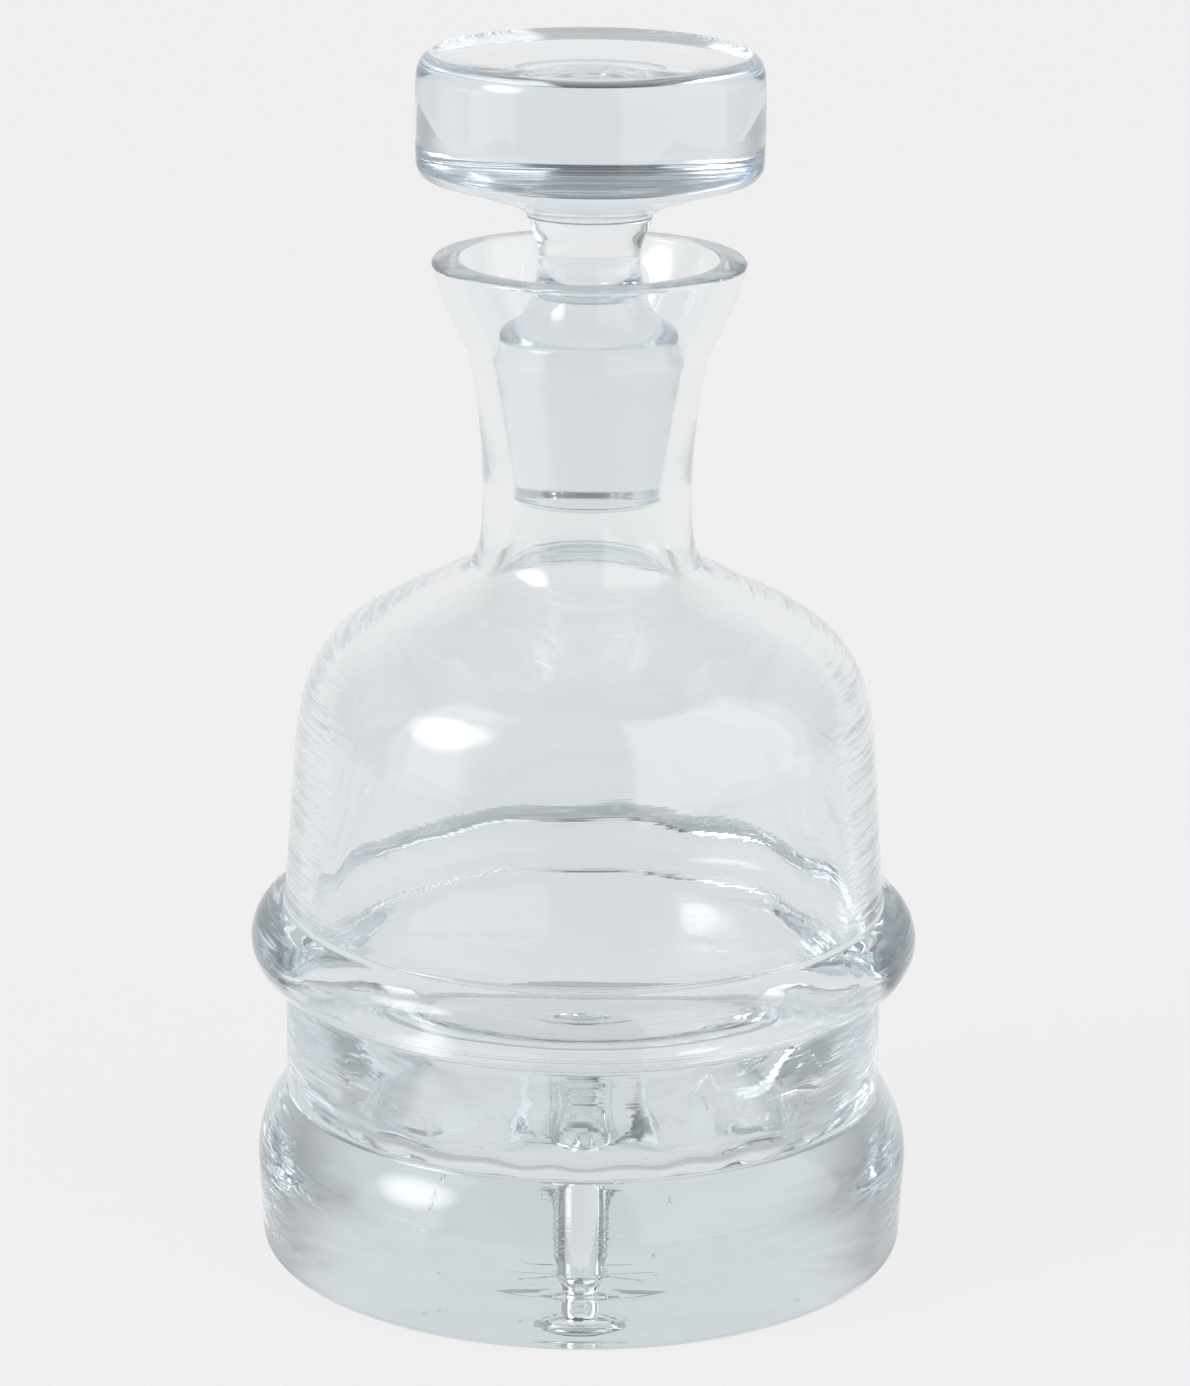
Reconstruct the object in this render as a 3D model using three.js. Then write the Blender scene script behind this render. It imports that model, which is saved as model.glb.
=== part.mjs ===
// A heavy clear glass decanter in two pieces. The bottle is one blown and fused piece: a thick foot,
// a waist, a ring laid round it, a domed body, and a short neck that opens into a cupped mouth.
// The stopper is one solid piece: a drum-shaped head, a drawn-in stem and a ground, tapered plug
// that sits in the ground throat of the neck and lifts straight out.
// Millimetres, +Z up. The origin is the middle of the face that the foot stands on.
import * as THREE from "three";

// A point, or a pull on a curve's end, in the profile plane: radius across and height up.
const at = (radius, height) => new THREE.Vector2(radius, height);

const SEGMENTS = 56;
const JOIN_DISTANCE = 0.02;

// Body: its wall line is the one that the foot, the waist and the ring are set out from
const BODY_RADIUS = 59.55;
const BODY_TOP_DRAW = 2;
const BODY_LENGTH = 27.55;

// Shoulder: the dome from the body up to the root of the neck
const SHOULDER_HEIGHT = 39.35;
const SHOULDER_SIDE_PULL = 25.95;
const SHOULDER_TOP_PULL = 25.85;
const SHOULDER_TOP_SLOPE = 0.55;

// Foot: a thick disc with a small edge below and a round crown above
const FOOT_PROUD = 5.65;
const FOOT_BASE_DRAW = 0.95;
const FOOT_EDGE_RADIUS = 2.75;
const FOOT_BELLY_HEIGHT = 18.25;
const FOOT_CROWN_RADIUS = 21.95;
const FOOT_FILLET = 2.1;

// Polished hollow under the middle of the foot, and in it the pin hole that the trapped bubble was
// blown from, closed at its upper end
const HOLLOW_RADIUS = 17;
const HOLLOW_DEPTH = 1.5;
const PIN_RADIUS = 2.5;
const PIN_DEPTH = 4.5;
const PIN_MOUTH_RADIUS = 6;
const PIN_MOUTH_PULL = 2.6;

// Waist between the foot and the ring
const WAIST_DRAW = 0.2;
const WAIST_LENGTH = 20.65;

// Ring: a round bead laid on hot and fused to the wall
const RING_PROUD = 6.7;
const RING_BEAD_RADIUS = 7.7;
const RING_FILLET = 2.1;

// Ground throat, which the plug fits, and the neck wall round it
const THROAT_TOP_RADIUS = 18.55;
const THROAT_DRAW = 3.7;
const THROAT_LENGTH = 26.9;
const THROAT_TOP_WALL = 5;
const NECK_WALL = 5.6;
const NECK_SIDE_PULL = 10.8;
const NECK_TOP_PULL = at(-1.2, -5);

// Root of the neck, where it spreads into the shoulder
const NECK_ROOT_FLARE = 2.85;
const NECK_ROOT_HEIGHT = 15.7;
const NECK_ROOT_PULL = at(-2.55, 2);

// Mouth: a cup with a flat ground rim
const MOUTH_FLARE = 7.1;
const MOUTH_HEIGHT = 17.8;
const MOUTH_ROOT_PULL = at(3.5, 6.3);
const MOUTH_LIP_PULL = at(-1.3, -6.5);
const RIM_WALL = 5.3;
const RIM_BEVEL = 0.65;
const RIM_BEVEL_DRAW = 0.13;

// Inside: the even wall above the ring, the thicker wall below it, and a flat floor with a round
// corner on the thick base
const BODY_WALL = 6.25;
const SHOULDER_WALL = 5.5;
const WAIST_WALL = 14.35;
const EVEN_WALL_ABOVE_RING = 6.6;
const SWELL_EASE = 0.45;
const BASE_THICKNESS = 26;
const CORNER_WIDTH = 14;
const CORNER_HEIGHT = 10;

// Plug
const GROUND_GAP = 0.3;
const PLUG_OVERRUN = 2.1;
const PLUG_END_ROUND = 2.55;
const COLLAR_HEIGHT = 4.9;
const COLLAR_DRAW = 0.55;
const COLLAR_ROUND = 1.5;
const COLLAR_ROUND_ANGLE = 70;

// Stem: the flare above the plug, the narrowest place, and the spread below the head
const STEM_RADIUS = 9.8;
const FLARE_HEIGHT = 13.35;
const FLARE_FOOT_REACH = 3;
const FLARE_FOOT_RISE = 1.3;
const FLARE_TOP_PULL = 6;
const STEM_HEIGHT = 8.5;
const STEM_SPREAD = 2.5;
const STEM_FOOT_PULL = 3.4;
const STEM_TOP_PULL = at(-0.5, -2.5);

// Head of the stopper
const HEAD_RADIUS = 33.5;
const HEAD_BOW = 0.3;
const HEAD_HEIGHT = 23.65;
const HEAD_TOP_ROUND = 3.4;
const HEAD_TOP_DROP = 4.65;
const HEAD_CORNER_ROUND = 1.9;
const HEAD_CORNER_RISE = 2.65;
const UNDERSIDE_RISE = 7.55;
const UNDERSIDE_ROOT_PULL = at(0.3, 1.9);
const UNDERSIDE_EDGE_PULL = at(-1, -0.2);

const run = (curve, steps) => curve.getPoints(steps);

const line = (from, to, steps = 1) => run(new THREE.LineCurve(from, to), steps);

// A smooth curve that leaves its first end along one pull and comes back into its last by another.
function bend(from, leaving, arriving, to, steps) {
  const curve = new THREE.CubicBezierCurve(from, from.clone().add(leaving), to.clone().add(arriving), to);
  return run(curve, steps);
}

// A stretch of an ellipse, from one angle to another in degrees, turning by the short way.
function arc(centre, across, up, fromDegrees, toDegrees, steps) {
  const from = THREE.MathUtils.degToRad(fromDegrees);
  const to = THREE.MathUtils.degToRad(toDegrees);
  return run(new THREE.EllipseCurve(centre.x, centre.y, across, up, from, to, to < from), steps);
}

// A fillet between an upright wall and a round bead beside it, above (side 1) or below (side -1) it:
// its centre, and the angle in degrees at which it meets the bead.
function filletAt(wallRadius, beadCentre, beadRadius, fillet, side) {
  const across = wallRadius + fillet - beadCentre.x;
  const up = side * Math.sqrt((beadRadius + fillet) ** 2 - across ** 2);
  const centre = at(beadCentre.x + across, beadCentre.y + up);
  return { centre, angle: THREE.MathUtils.radToDeg(Math.atan2(up, across)) };
}

// The same stretch of profile moved in towards the cavity, by a wall that changes evenly along it.
function inset(points, wallFrom, wallTo) {
  return points.map((point, i) => {
    const before = points[Math.max(i - 1, 0)];
    const after = points[Math.min(i + 1, points.length - 1)];
    const along = after.clone().sub(before).normalize();
    const wall = THREE.MathUtils.lerp(wallFrom, wallTo, i / (points.length - 1));
    return at(point.x - along.y * wall, point.y + along.x * wall);
  });
}

// A solid of revolution about Z from stretches of profile joined end to end.
function turned(name, material, stretches) {
  const profile = [];
  for (const point of stretches.flat()) {
    const last = profile.at(-1);
    if (!last || last.distanceTo(point) > JOIN_DISTANCE) profile.push(point);
  }
  const geometry = new THREE.LatheGeometry(profile, SEGMENTS);
  geometry.rotateX(Math.PI / 2);
  const mesh = new THREE.Mesh(geometry, material);
  mesh.name = name;
  return mesh;
}

// Radii that follow from the body and from the throat
const footRadius = BODY_RADIUS + FOOT_PROUD;
const footBaseRadius = footRadius - FOOT_BASE_DRAW;
const waistRadius = BODY_RADIUS - WAIST_DRAW;
const ringRadius = BODY_RADIUS + RING_PROUD;
const bodyTopRadius = BODY_RADIUS - BODY_TOP_DRAW;
const throatBottomRadius = THROAT_TOP_RADIUS - THROAT_DRAW;
const neckRadius = throatBottomRadius + NECK_WALL;
const neckRootRadius = neckRadius + NECK_ROOT_FLARE;
const neckTopRadius = THROAT_TOP_RADIUS + THROAT_TOP_WALL;
const rimRadius = neckTopRadius + MOUTH_FLARE;

// Heights of the bottle, from the foot up
const footBeadCentre = at(footRadius - FOOT_CROWN_RADIUS, FOOT_BELLY_HEIGHT);
const footFillet = filletAt(waistRadius, footBeadCentre, FOOT_CROWN_RADIUS, FOOT_FILLET, 1);
const waistBottom = footFillet.centre.y;
const waistTop = waistBottom + WAIST_LENGTH;
const ringReach = waistRadius + RING_FILLET - (ringRadius - RING_BEAD_RADIUS);
const ringHeight =
  waistTop + Math.sqrt((RING_BEAD_RADIUS + RING_FILLET) ** 2 - ringReach ** 2);
const ringCentre = at(ringRadius - RING_BEAD_RADIUS, ringHeight);
const ringBelow = filletAt(waistRadius, ringCentre, RING_BEAD_RADIUS, RING_FILLET, -1);
const ringAbove = filletAt(BODY_RADIUS, ringCentre, RING_BEAD_RADIUS, RING_FILLET, 1);
const bodyBottom = ringAbove.centre.y;
const bodyTop = bodyBottom + BODY_LENGTH;
const neckRoot = bodyTop + SHOULDER_HEIGHT;
const throatBottom = neckRoot + NECK_ROOT_HEIGHT;
const throatTop = throatBottom + THROAT_LENGTH;
const rimHeight = throatTop + MOUTH_HEIGHT;

const glass = (tint) =>
  new THREE.MeshStandardMaterial({
    color: tint,
    roughness: 0.03,
    metalness: 0,
    transparent: true,
    opacity: 0.4,
  });

function bottle() {
  // Outside, from the end of the pin hole to the rim
  const grindRadius = (HOLLOW_RADIUS ** 2 + HOLLOW_DEPTH ** 2) / (2 * HOLLOW_DEPTH);
  const grindCentre = at(0, HOLLOW_DEPTH - grindRadius);
  const angleAt = (radius) => THREE.MathUtils.radToDeg(Math.acos(radius / grindRadius));
  const hollow =
    arc(grindCentre, grindRadius, grindRadius, angleAt(PIN_MOUTH_RADIUS), angleAt(HOLLOW_RADIUS), 3);
  const pinTop = at(0, HOLLOW_DEPTH + PIN_DEPTH);
  const pinEnd = arc(pinTop, PIN_RADIUS, PIN_RADIUS, 90, 0, 3);
  const pinMouth = bend(pinEnd.at(-1), at(0, -PIN_DEPTH / 2), at(-PIN_MOUTH_PULL, 0), hollow[0], 4);
  const underside = line(at(HOLLOW_RADIUS, 0), at(footBaseRadius - FOOT_EDGE_RADIUS, 0));
  const edgeCentre = at(footBaseRadius - FOOT_EDGE_RADIUS, FOOT_EDGE_RADIUS);
  const footEdge = arc(edgeCentre, FOOT_EDGE_RADIUS, FOOT_EDGE_RADIUS, -90, 0, 2);
  const footSide = line(at(footBaseRadius, FOOT_EDGE_RADIUS), at(footRadius, FOOT_BELLY_HEIGHT), 2);
  const crown = arc(footBeadCentre, FOOT_CROWN_RADIUS, FOOT_CROWN_RADIUS, 0, footFillet.angle, 4);
  const footCrease = arc(footFillet.centre, FOOT_FILLET, FOOT_FILLET, footFillet.angle - 180, -180, 2);
  const waist = line(at(waistRadius, waistBottom), at(waistRadius, waistTop));
  const lowerCrease = arc(ringBelow.centre, RING_FILLET, RING_FILLET, 180, ringBelow.angle + 180, 2);
  const bead = arc(ringCentre, RING_BEAD_RADIUS, RING_BEAD_RADIUS, ringBelow.angle, ringAbove.angle, 8);
  const upperCrease = arc(ringAbove.centre, RING_FILLET, RING_FILLET, ringAbove.angle - 180, -180, 2);
  const bodySide = line(at(BODY_RADIUS, bodyBottom), at(bodyTopRadius, bodyTop), 2);
  const sideSlope = -BODY_TOP_DRAW / BODY_LENGTH;
  const shoulder = bend(
    at(bodyTopRadius, bodyTop),
    at(sideSlope * SHOULDER_SIDE_PULL, SHOULDER_SIDE_PULL),
    at(SHOULDER_TOP_PULL, -SHOULDER_TOP_SLOPE * SHOULDER_TOP_PULL),
    at(neckRootRadius, neckRoot),
    10,
  );
  const throatLevel = at(neckRadius, throatBottom);
  const neckTop = at(neckTopRadius, throatTop);
  const neckFoot = bend(
    at(neckRootRadius, neckRoot), NECK_ROOT_PULL, at(0, -NECK_ROOT_HEIGHT / 2), throatLevel, 3,
  );
  const neckSide = bend(throatLevel, at(0, NECK_SIDE_PULL), NECK_TOP_PULL, neckTop, 4);
  const mouthSide = bend(neckTop, MOUTH_ROOT_PULL, MOUTH_LIP_PULL, at(rimRadius, rimHeight), 5);
  const outerMouth = mouthSide.slice(0, -1);
  const rim = [
    at(rimRadius - RIM_BEVEL_DRAW, rimHeight - RIM_BEVEL),
    at(rimRadius - RIM_BEVEL, rimHeight),
    at(rimRadius - RIM_WALL + RIM_BEVEL, rimHeight),
  ];

  // Inside, from the rim down to the middle of the floor
  const innerMouth = inset(mouthSide, THROAT_TOP_WALL, RIM_WALL).slice(1, -1).reverse();
  const throat = line(at(THROAT_TOP_RADIUS, throatTop), at(throatBottomRadius, throatBottom), 2);
  const innerNeckFoot = inset(neckFoot, SHOULDER_WALL, NECK_WALL).reverse();
  const innerShoulder = inset(shoulder, BODY_WALL, SHOULDER_WALL).slice(1, -1).reverse();
  const swellTop = at(BODY_RADIUS - BODY_WALL, ringHeight + EVEN_WALL_ABOVE_RING);
  const innerBody = line(at(bodyTopRadius - BODY_WALL, bodyTop), swellTop, 2);
  const cornerTop = at(waistRadius - WAIST_WALL, BASE_THICKNESS + CORNER_HEIGHT);
  const swellPull = (swellTop.y - cornerTop.y) * SWELL_EASE;
  const swell = bend(swellTop, at(0, -swellPull), at(0, swellPull), cornerTop, 6);
  const cornerCentre = at(cornerTop.x - CORNER_WIDTH, cornerTop.y);
  const corner = arc(cornerCentre, CORNER_WIDTH, CORNER_HEIGHT, 0, -90, 5);
  const floor = [at(0, BASE_THICKNESS)];

  return turned("bottle", glass(0xdce5e8), [
    pinEnd, pinMouth, hollow, underside, footEdge, footSide, crown, footCrease, waist,
    lowerCrease, bead, upperCrease, bodySide, shoulder, neckFoot, neckSide, outerMouth, rim,
    innerMouth, throat, innerNeckFoot, innerShoulder, innerBody, swell, corner, floor,
  ]);
}

function stopper() {
  // The plug follows the throat, a ground gap inside it, and runs a little past its lower end
  const throatSlope = THROAT_DRAW / THROAT_LENGTH;
  const plugRadiusAt = (height) =>
    THROAT_TOP_RADIUS - GROUND_GAP - (throatTop - height) * throatSlope;
  const plugEnd = throatBottom - PLUG_OVERRUN;
  const endCentre = at(plugRadiusAt(plugEnd + PLUG_END_ROUND) - PLUG_END_ROUND, plugEnd + PLUG_END_ROUND);
  const end = line(at(0, plugEnd), at(endCentre.x, plugEnd));
  const endRound = arc(endCentre, PLUG_END_ROUND, PLUG_END_ROUND, -90, 0, 3);
  const ground = line(at(plugRadiusAt(endCentre.y), endCentre.y), at(plugRadiusAt(throatTop), throatTop), 2);

  // Collar above the ground stretch, then the flare into the stem
  const collarRadius = plugRadiusAt(throatTop) - COLLAR_DRAW;
  const collarTop = throatTop + COLLAR_HEIGHT;
  const collarCentre = at(collarRadius - COLLAR_ROUND, collarTop - COLLAR_ROUND);
  const collar = arc(collarCentre, COLLAR_ROUND, COLLAR_ROUND, 0, COLLAR_ROUND_ANGLE, 3);
  const flareFoot = collar.at(-1);
  const narrowest = at(STEM_RADIUS, collarTop + FLARE_HEIGHT);
  const flareFootPull = at(STEM_RADIUS + FLARE_FOOT_REACH - flareFoot.x, FLARE_FOOT_RISE);
  const flare = bend(flareFoot, flareFootPull, at(0, -FLARE_TOP_PULL), narrowest, 6);
  const stemTop = at(STEM_RADIUS + STEM_SPREAD, narrowest.y + STEM_HEIGHT);
  const stem = bend(narrowest, at(0, STEM_FOOT_PULL), STEM_TOP_PULL, stemTop, 3);

  // Head: a cone-shaped underside, a small lower corner, a bowed side and a rounded flat top
  const headBottom = stemTop.y + UNDERSIDE_RISE;
  const headTop = headBottom + HEAD_HEIGHT;
  const cornerFoot = at(HEAD_RADIUS - HEAD_CORNER_ROUND, headBottom);
  const underside = bend(stemTop, UNDERSIDE_ROOT_PULL, UNDERSIDE_EDGE_PULL, cornerFoot, 6);
  const cornerCentre = at(cornerFoot.x, headBottom + HEAD_CORNER_RISE);
  const corner = arc(cornerCentre, HEAD_CORNER_ROUND, HEAD_CORNER_RISE, -90, 0, 3);
  const topCentre = at(HEAD_RADIUS - HEAD_TOP_ROUND, headTop - HEAD_TOP_DROP);
  const side = [at(HEAD_RADIUS + HEAD_BOW, (cornerCentre.y + topCentre.y) / 2)];
  const topRound = arc(topCentre, HEAD_TOP_ROUND, HEAD_TOP_DROP, 0, 90, 5);
  const top = [at(0, headTop)];

  return turned("stopper", glass(0xe1e9eb), [
    end, endRound, ground, collar, flare, stem, underside, corner, side, topRound, top,
  ]);
}

const decanter = new THREE.Group();
decanter.add(bottle(), stopper());

export default decanter;
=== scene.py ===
import math

import bmesh
import bpy
from mathutils import Matrix, Vector, noise


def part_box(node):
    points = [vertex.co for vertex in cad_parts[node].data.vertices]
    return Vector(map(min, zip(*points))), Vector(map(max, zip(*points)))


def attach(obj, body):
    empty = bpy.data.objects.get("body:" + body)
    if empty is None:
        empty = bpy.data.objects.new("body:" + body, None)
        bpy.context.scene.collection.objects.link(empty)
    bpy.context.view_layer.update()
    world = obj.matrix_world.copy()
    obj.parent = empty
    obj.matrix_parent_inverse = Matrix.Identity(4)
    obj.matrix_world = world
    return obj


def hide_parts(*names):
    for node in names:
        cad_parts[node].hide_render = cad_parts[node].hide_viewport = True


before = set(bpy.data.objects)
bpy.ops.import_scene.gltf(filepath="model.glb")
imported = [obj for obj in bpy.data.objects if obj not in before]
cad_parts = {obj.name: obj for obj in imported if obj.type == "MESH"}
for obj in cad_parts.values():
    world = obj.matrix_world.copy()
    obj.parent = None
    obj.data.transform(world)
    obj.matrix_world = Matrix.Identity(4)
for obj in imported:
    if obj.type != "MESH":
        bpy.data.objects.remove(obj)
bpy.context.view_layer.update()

# Bottle, outside. One gather of clear glass, blown and turned hot: a thick foot, a waist, a ring laid on
# round the wall, a domed body, a short neck and a cupped mouth. The whole outside is one turned line, in
# millimetres and a hair inside the CAD's box. A pull is how far a curve keeps to the way its end points.
INSIDE_CAD = 0.9999
ROUND_STEPS = 256
RING_RADIUS = 66.25
RING_BEAD_RADIUS = 7.7
RING_FILLET = 2.1
RING_TOP_FILLET = 1.2
BODY_RADIUS = 59.55
BODY_TOP_RADIUS = 57.55
BODY_LENGTH = 27.55
WAIST_RADIUS = 59.35
WAIST_LENGTH = 20.65
FOOT_RADIUS = 65.2
FOOT_BASE_RADIUS = 64.25
FOOT_EDGE_RADIUS = 2.75
FOOT_BELLY_HEIGHT = 18.25
FOOT_CROWN_RADIUS = 21.95
FOOT_FILLET = 2.1
SHOULDER_HEIGHT = 39.35
SHOULDER_SIDE_PULL = 25.95
SHOULDER_TOP_PULL = 25.85
SHOULDER_TOP_SLOPE = 0.55
NECK_ROOT_RADIUS = 23.3
NECK_RADIUS = 20.45
NECK_ROOT_HEIGHT = 15.7
NECK_ROOT_DRAW = 0.3
NECK_ROOT_PULL = 2
NECK_TOP_RADIUS = 23.55
NECK_STRAIGHT_SHARE = 0.4
NECK_TOP_DRAW = 1.2
NECK_TOP_PULL = 5
THROAT_LENGTH = 26.9
MOUTH_HEIGHT = 17.8
MOUTH_FOOT_REACH = 3.5
MOUTH_FOOT_PULL = 6.3
MOUTH_RIM_DRAW = 1.3
MOUTH_RIM_PULL = 6.5
RIM_RADIUS = 30.65
RIM_BEVEL = 0.65
RIM_BEVEL_DRAW = 0.2
LEAST_STEP = 0.02
WELD_DISTANCE = 1e-6

_, bottle_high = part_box("bottle")
MM = bottle_high[0] / RING_RADIUS * INSIDE_CAD


def at(radius, height):
    """A point of an outline, by its distance from the axis and its height in millimetres."""
    return Vector((radius, 0, height))


def line(start, end, steps=1):
    return [start.lerp(end, i / steps) for i in range(steps + 1)]


def bend(start, leaving, arriving, end, steps):
    """A curve that sets out towards one point and comes in from another."""
    points = []
    for i in range(steps + 1):
        t = i / steps
        s = 1 - t
        points.append(s**3 * start + 3 * s * s * t * leaving + 3 * s * t * t * arriving + t**3 * end)
    return points


def arc(centre, across, up, start_degrees, end_degrees, steps):
    """Part of a circle or an ellipse, from 0 degrees at its outer side to 90 at its top."""
    points = []
    for i in range(steps + 1):
        angle = math.radians(start_degrees + (end_degrees - start_degrees) * i / steps)
        points.append(centre + at(across * math.cos(angle), up * math.sin(angle)))
    return points


def fillet_beside(wall_radius, bead_centre, bead_radius, fillet, side):
    """The centre of a fillet between a wall and a bead, above it (1) or below (-1), and its angle there."""
    across = wall_radius + fillet - bead_centre.x
    up = side * math.sqrt((bead_radius + fillet) ** 2 - across**2)
    return bead_centre + at(across, up), math.degrees(math.atan2(up, across))


def turned(stretches, steps=ROUND_STEPS):
    """A surface of revolution about Z from stretches of outline joined end to end, in metres."""
    outline = []
    for point in [p for stretch in stretches for p in stretch]:
        if not outline or (outline[-1] - point).length > LEAST_STEP:
            outline.append(point)
    work = bmesh.new()
    ring = [work.verts.new(point * MM) for point in outline]
    edges = [work.edges.new(pair) for pair in zip(ring, ring[1:])]
    bmesh.ops.spin(
        work, geom=ring + edges, cent=(0, 0, 0), axis=(0, 0, 1),
        angle=math.tau, steps=steps, use_merge=True,
    )
    bmesh.ops.remove_doubles(work, verts=work.verts, dist=WELD_DISTANCE)
    return work


foot_centre = at(FOOT_RADIUS - FOOT_CROWN_RADIUS, FOOT_BELLY_HEIGHT)
foot_crease, foot_crease_angle = fillet_beside(WAIST_RADIUS, foot_centre, FOOT_CROWN_RADIUS, FOOT_FILLET, 1)
waist_top = foot_crease.z + WAIST_LENGTH
ring_reach = WAIST_RADIUS + RING_FILLET - (RING_RADIUS - RING_BEAD_RADIUS)
ring_height = waist_top + math.sqrt((RING_BEAD_RADIUS + RING_FILLET) ** 2 - ring_reach**2)
ring_centre = at(RING_RADIUS - RING_BEAD_RADIUS, ring_height)
low_crease, low_crease_angle = fillet_beside(WAIST_RADIUS, ring_centre, RING_BEAD_RADIUS, RING_FILLET, -1)

# The body's height counts from the CAD's crease above the ring, which is then drawn sharper than there.
cad_crease, _ = fillet_beside(BODY_RADIUS, ring_centre, RING_BEAD_RADIUS, RING_FILLET, 1)
body_top = cad_crease.z + BODY_LENGTH
top_crease, top_crease_angle = fillet_beside(BODY_RADIUS, ring_centre, RING_BEAD_RADIUS, RING_TOP_FILLET, 1)
neck_root = body_top + SHOULDER_HEIGHT
throat_bottom = neck_root + NECK_ROOT_HEIGHT
throat_top = throat_bottom + THROAT_LENGTH
rim_height = throat_top + MOUTH_HEIGHT

# The underside is ground to a shallow polished hollow, with a short pin hole up the axis in its middle.
HOLLOW_RADIUS = 17
HOLLOW_DEPTH = 1.5
HOLLOW_STEPS = 12
PIN_RADIUS = 2.5
PIN_DEPTH = 4.5
PIN_MOUTH_RADIUS = 4.2
PIN_MOUTH_PULL = 1.3

grind_radius = (HOLLOW_RADIUS**2 + HOLLOW_DEPTH**2) / (2 * HOLLOW_DEPTH)
hollow = []
for i in range(HOLLOW_STEPS + 1):
    radius = PIN_MOUTH_RADIUS + (HOLLOW_RADIUS - PIN_MOUTH_RADIUS) * i / HOLLOW_STEPS
    hollow.append(at(radius, math.sqrt(grind_radius**2 - radius**2) + HOLLOW_DEPTH - grind_radius))
pin_end = arc(at(0, HOLLOW_DEPTH + PIN_DEPTH), PIN_RADIUS, PIN_RADIUS, 90, 0, 8)
pin_end[0].x = 0
pin_mouth = bend(
    pin_end[-1], pin_end[-1] - at(0, PIN_DEPTH / 2), hollow[0] - at(PIN_MOUTH_PULL, 0), hollow[0], 14,
)
underside = line(at(HOLLOW_RADIUS, 0), at(FOOT_BASE_RADIUS - FOOT_EDGE_RADIUS, 0), 10)
edge_centre = at(FOOT_BASE_RADIUS - FOOT_EDGE_RADIUS, FOOT_EDGE_RADIUS)
foot_edge = arc(edge_centre, FOOT_EDGE_RADIUS, FOOT_EDGE_RADIUS, -90, 0, 8)
foot_side = line(at(FOOT_BASE_RADIUS, FOOT_EDGE_RADIUS), at(FOOT_RADIUS, FOOT_BELLY_HEIGHT), 12)
crown = arc(foot_centre, FOOT_CROWN_RADIUS, FOOT_CROWN_RADIUS, 0, foot_crease_angle, 20)
crease = arc(foot_crease, FOOT_FILLET, FOOT_FILLET, foot_crease_angle + 180, 180, 6)
waist = line(at(WAIST_RADIUS, foot_crease.z), at(WAIST_RADIUS, waist_top), 14)
ring_under = arc(low_crease, RING_FILLET, RING_FILLET, 180, low_crease_angle + 180, 6)
bead = arc(ring_centre, RING_BEAD_RADIUS, RING_BEAD_RADIUS, low_crease_angle, top_crease_angle, 32)
ring_over = arc(top_crease, RING_TOP_FILLET, RING_TOP_FILLET, top_crease_angle + 180, 180, 6)
body_side = line(at(BODY_RADIUS, top_crease.z), at(BODY_TOP_RADIUS, body_top), 18)
side_slope = (BODY_TOP_RADIUS - BODY_RADIUS) / BODY_LENGTH
shoulder = bend(
    at(BODY_TOP_RADIUS, body_top),
    at(BODY_TOP_RADIUS + side_slope * SHOULDER_SIDE_PULL, body_top + SHOULDER_SIDE_PULL),
    at(NECK_ROOT_RADIUS + SHOULDER_TOP_PULL, neck_root - SHOULDER_TOP_SLOPE * SHOULDER_TOP_PULL),
    at(NECK_ROOT_RADIUS, neck_root),
    40,
)
neck_foot = bend(
    at(NECK_ROOT_RADIUS, neck_root),
    at(NECK_RADIUS + NECK_ROOT_DRAW, neck_root + NECK_ROOT_PULL),
    at(NECK_RADIUS, throat_bottom - NECK_ROOT_HEIGHT / 2),
    at(NECK_RADIUS, throat_bottom),
    12,
)
neck_side = bend(
    at(NECK_RADIUS, throat_bottom),
    at(NECK_RADIUS, throat_bottom + THROAT_LENGTH * NECK_STRAIGHT_SHARE),
    at(NECK_TOP_RADIUS - NECK_TOP_DRAW, throat_top - NECK_TOP_PULL),
    at(NECK_TOP_RADIUS, throat_top),
    14,
)
mouth_side = bend(
    at(NECK_TOP_RADIUS, throat_top),
    at(NECK_TOP_RADIUS + MOUTH_FOOT_REACH, throat_top + MOUTH_FOOT_PULL),
    at(RIM_RADIUS - MOUTH_RIM_DRAW, rim_height - MOUTH_RIM_PULL),
    at(RIM_RADIUS, rim_height),
    18,
)
rim_bevel = [
    at(RIM_RADIUS - RIM_BEVEL * RIM_BEVEL_DRAW, rim_height - RIM_BEVEL),
    at(RIM_RADIUS - RIM_BEVEL, rim_height),
]
outside = turned([
    pin_end, pin_mouth, hollow, underside,
    foot_edge, foot_side, crown, crease, waist,
    ring_under, bead, ring_over, body_side, shoulder,
    neck_foot, neck_side, mouth_side[:-1], rim_bevel,
])

# Bottle, inside. The breath that opened the bottle left an even wall, and a flat floor with a soft corner
# above the thick base. The throat is then ground to the taper of the stopper's plug.
BASE_THICKNESS = 26
CAVITY_RADIUS = 45
CORNER_HEIGHT = 10
FLOOR_RADIUS = 31
FLOOR_RISE = 0.4
FLOOR_STEPS = 24
CAVITY_SWELL = 34.6
CAVITY_SWELL_PULL = 0.25
TURN_IN_HEIGHT = 59.9
TURN_IN_REACH = 2.4
TURN_IN_DROP = 2.4
TURN_IN_LEAVING = 0.15
TURN_IN_ARRIVING = 0.85
BODY_WALL = 6.25
SHOULDER_WALL = 5.5
NECK_WALL = 5.6
RIM_WALL = 5.3
THROAT_TOP_RADIUS = 18.55


def inset(points, wall_start, wall_end):
    """An outline moved in by the wall, which changes evenly from one thickness to the other."""
    moved = []
    for i, point in enumerate(points):
        along = (points[min(i + 1, len(points) - 1)] - points[max(i - 1, 0)]).normalized()
        wall = wall_start + (wall_end - wall_start) * i / (len(points) - 1)
        moved.append(point + at(-along.z * wall, along.x * wall))
    return moved


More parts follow.
